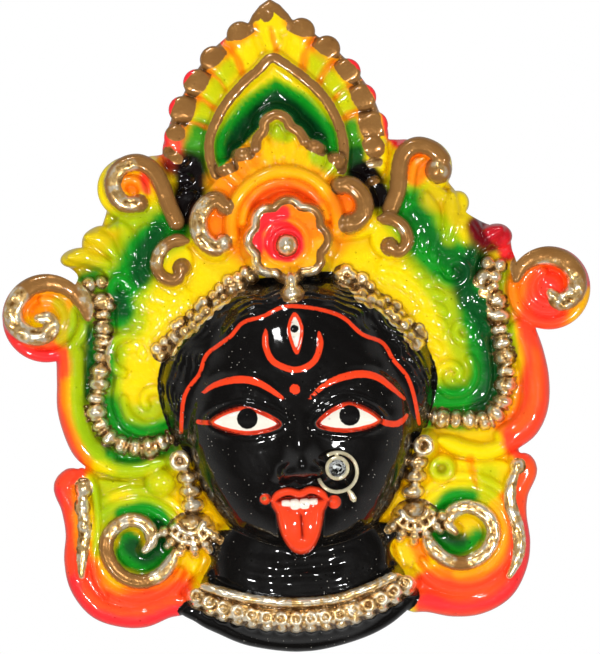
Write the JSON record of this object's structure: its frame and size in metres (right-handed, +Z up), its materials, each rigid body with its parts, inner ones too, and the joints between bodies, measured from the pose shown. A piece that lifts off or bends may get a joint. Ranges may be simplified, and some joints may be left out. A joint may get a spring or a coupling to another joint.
{
  "type": "kali wall plaque",
  "caption": "Cast and hand-painted wall plaque: head of the goddess Kali with tall lobed crown, scroll frame and nose ring, flat back for hanging.",
  "frame": {"origin": "middle of the flat back, on the wall's surface", "axes": "+X to the viewer's right, +Y into the wall, +Z up; the face looks along -Y"},
  "size_m": [0.2929, 0.0697, 0.3251],
  "materials": {
    "painted_plaster": "cast plaster, hand-painted in black, fluorescent colours and bronze, glossy lacquer",
    "brass_wire": "polished wire",
    "clear_stone": "cut and polished"
  },
  "bodies": {
    "root": {"plaque": "painted_plaster", "nose_ring": "brass_wire", "nose_stone": "clear_stone"}
  },
  "joints": []
}
